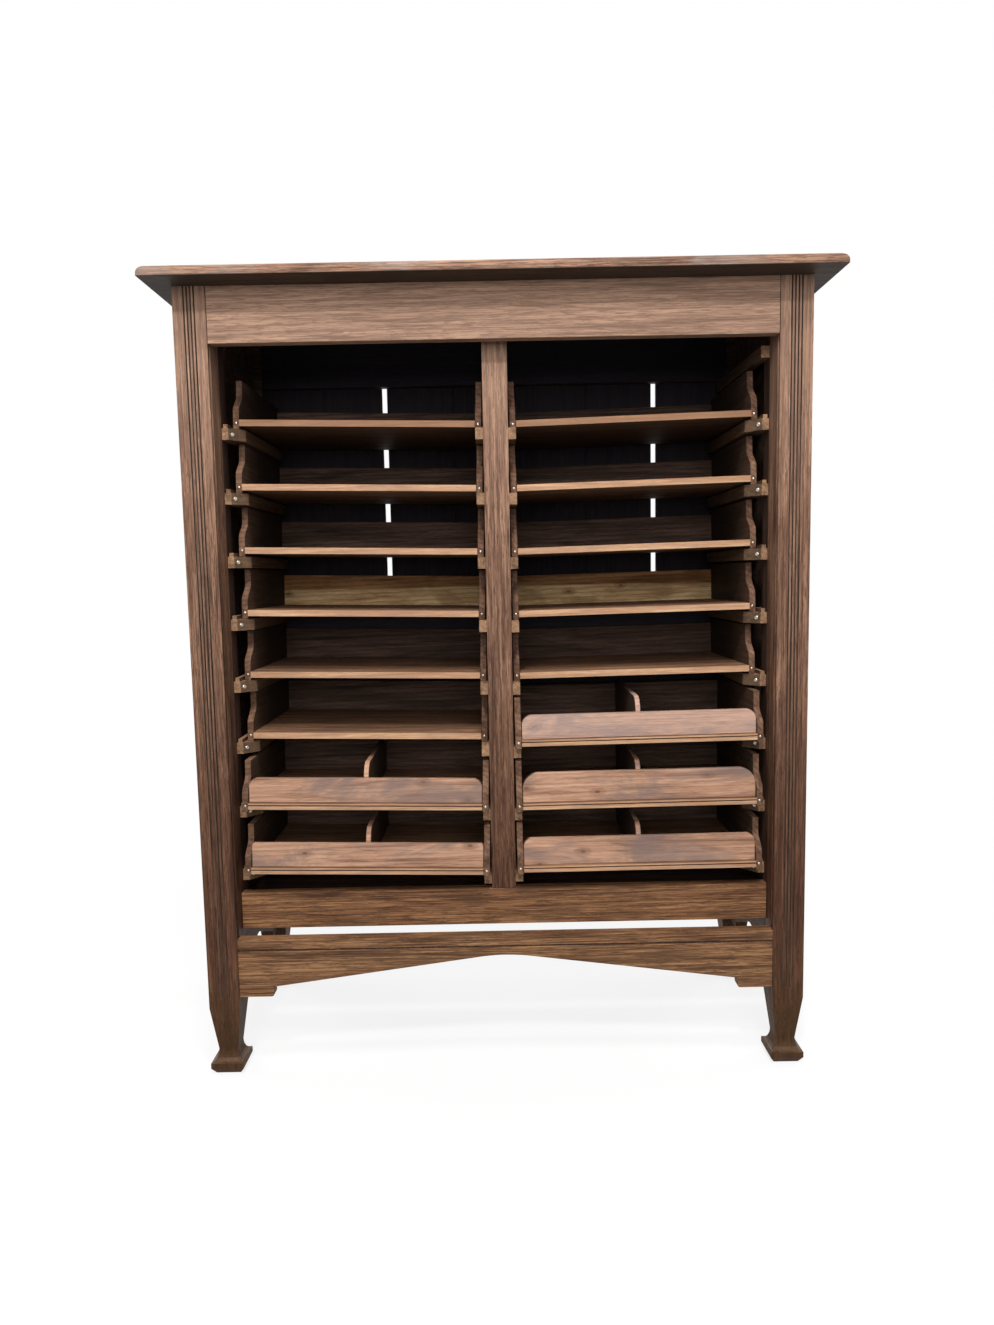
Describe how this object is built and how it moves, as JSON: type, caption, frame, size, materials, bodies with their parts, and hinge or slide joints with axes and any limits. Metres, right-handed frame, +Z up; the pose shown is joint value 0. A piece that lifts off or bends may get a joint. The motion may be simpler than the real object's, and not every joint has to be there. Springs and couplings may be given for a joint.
{
  "type": "tray cabinet",
  "caption": "Tall wooden cabinet with two bays of shallow sliding trays on runners, an overhanging top board, reeded corner posts, an arched apron and flared feet.",
  "frame": {"origin": "on the floor, under the middle of the overall box", "axes": "+Z up; the open front with the trays looks along -Y; +X is to the right of a person who faces the front"},
  "size_m": [1.2, 0.484, 1.464],
  "materials": {
    "front_oak": "waxed",
    "side_oak": "waxed",
    "back_pine": "raw",
    "runner_pine": "raw",
    "tray_pine": "waxed",
    "tray_side_pine": "waxed",
    "steel": "worn"
  },
  "bodies": {
    "carcass": {"top_board": "front_oak", "front_left_post": "front_oak", "front_right_post": "front_oak", "rear_left_post": "side_oak", "rear_right_post": "side_oak", "top_rail": "front_oak", "lower_rail": "front_oak", "front_apron": "front_oak", "centre_stile": "front_oak", "rear_centre_stile": "side_oak", "left_side_rails": "side_oak", "right_side_rails": "side_oak", "left_side_panel": "side_oak", "right_side_panel": "side_oak", "back_rails": "side_oak", "upper_back_boards": "back_pine", "lower_back_boards": "back_pine", "bottom_board": "back_pine", "bottom_bearers": "back_pine", "carrier_battens": "back_pine", "left_bay_runners": "runner_pine", "right_bay_runners": "runner_pine", "runner_screws": "steel"},
    "tray_left_1": {"tray_left_1_floor": "tray_pine", "tray_left_1_walls": "tray_side_pine"},
    "tray_left_2": {"tray_left_2_floor": "tray_pine", "tray_left_2_walls": "tray_side_pine"},
    "tray_left_3": {"tray_left_3_floor": "tray_pine", "tray_left_3_walls": "tray_side_pine"},
    "tray_left_4": {"tray_left_4_floor": "tray_pine", "tray_left_4_walls": "tray_side_pine"},
    "tray_left_5": {"tray_left_5_floor": "tray_pine", "tray_left_5_walls": "tray_side_pine"},
    "tray_left_6": {"tray_left_6_floor": "tray_pine", "tray_left_6_walls": "tray_side_pine"},
    "tray_left_7": {"tray_left_7_floor": "tray_pine", "tray_left_7_walls": "tray_side_pine", "tray_left_7_front": "tray_pine"},
    "tray_left_8": {"tray_left_8_floor": "tray_pine", "tray_left_8_walls": "tray_side_pine", "tray_left_8_front": "tray_pine"},
    "tray_right_1": {"tray_right_1_floor": "tray_pine", "tray_right_1_walls": "tray_side_pine"},
    "tray_right_2": {"tray_right_2_floor": "tray_pine", "tray_right_2_walls": "tray_side_pine"},
    "tray_right_3": {"tray_right_3_floor": "tray_pine", "tray_right_3_walls": "tray_side_pine"},
    "tray_right_4": {"tray_right_4_floor": "tray_pine", "tray_right_4_walls": "tray_side_pine"},
    "tray_right_5": {"tray_right_5_floor": "tray_pine", "tray_right_5_walls": "tray_side_pine"},
    "tray_right_6": {"tray_right_6_floor": "tray_pine", "tray_right_6_walls": "tray_side_pine", "tray_right_6_front": "tray_pine"},
    "tray_right_7": {"tray_right_7_floor": "tray_pine", "tray_right_7_walls": "tray_side_pine", "tray_right_7_front": "tray_pine"},
    "tray_right_8": {"tray_right_8_floor": "tray_pine", "tray_right_8_walls": "tray_side_pine", "tray_right_8_front": "tray_pine"}
  },
  "joints": [
    {"name": "tray_left_1_slide", "type": "slide", "parent": "carcass", "child": "tray_left_1", "axis": [0, -1, 0], "range_m": [0, 0.22]},
    {"name": "tray_left_2_slide", "type": "slide", "parent": "carcass", "child": "tray_left_2", "axis": [0, -1, 0], "range_m": [0, 0.22]},
    {"name": "tray_left_3_slide", "type": "slide", "parent": "carcass", "child": "tray_left_3", "axis": [0, -1, 0], "range_m": [0, 0.22]},
    {"name": "tray_left_4_slide", "type": "slide", "parent": "carcass", "child": "tray_left_4", "axis": [0, -1, 0], "range_m": [0, 0.22]},
    {"name": "tray_left_5_slide", "type": "slide", "parent": "carcass", "child": "tray_left_5", "axis": [0, -1, 0], "range_m": [0, 0.22]},
    {"name": "tray_left_6_slide", "type": "slide", "parent": "carcass", "child": "tray_left_6", "axis": [0, -1, 0], "range_m": [0, 0.22]},
    {"name": "tray_left_7_slide", "type": "slide", "parent": "carcass", "child": "tray_left_7", "axis": [0, -1, 0], "range_m": [-0.058, 0.162]},
    {"name": "tray_left_8_slide", "type": "slide", "parent": "carcass", "child": "tray_left_8", "axis": [0, -1, 0], "range_m": [-0.058, 0.162]},
    {"name": "tray_right_1_slide", "type": "slide", "parent": "carcass", "child": "tray_right_1", "axis": [0, -1, 0], "range_m": [0, 0.22]},
    {"name": "tray_right_2_slide", "type": "slide", "parent": "carcass", "child": "tray_right_2", "axis": [0, -1, 0], "range_m": [0, 0.22]},
    {"name": "tray_right_3_slide", "type": "slide", "parent": "carcass", "child": "tray_right_3", "axis": [0, -1, 0], "range_m": [0, 0.22]},
    {"name": "tray_right_4_slide", "type": "slide", "parent": "carcass", "child": "tray_right_4", "axis": [0, -1, 0], "range_m": [0, 0.22]},
    {"name": "tray_right_5_slide", "type": "slide", "parent": "carcass", "child": "tray_right_5", "axis": [0, -1, 0], "range_m": [0, 0.22]},
    {"name": "tray_right_6_slide", "type": "slide", "parent": "carcass", "child": "tray_right_6", "axis": [0, -1, 0], "range_m": [-0.058, 0.162]},
    {"name": "tray_right_7_slide", "type": "slide", "parent": "carcass", "child": "tray_right_7", "axis": [0, -1, 0], "range_m": [-0.058, 0.162]},
    {"name": "tray_right_8_slide", "type": "slide", "parent": "carcass", "child": "tray_right_8", "axis": [0, -1, 0], "range_m": [-0.058, 0.162]}
  ]
}
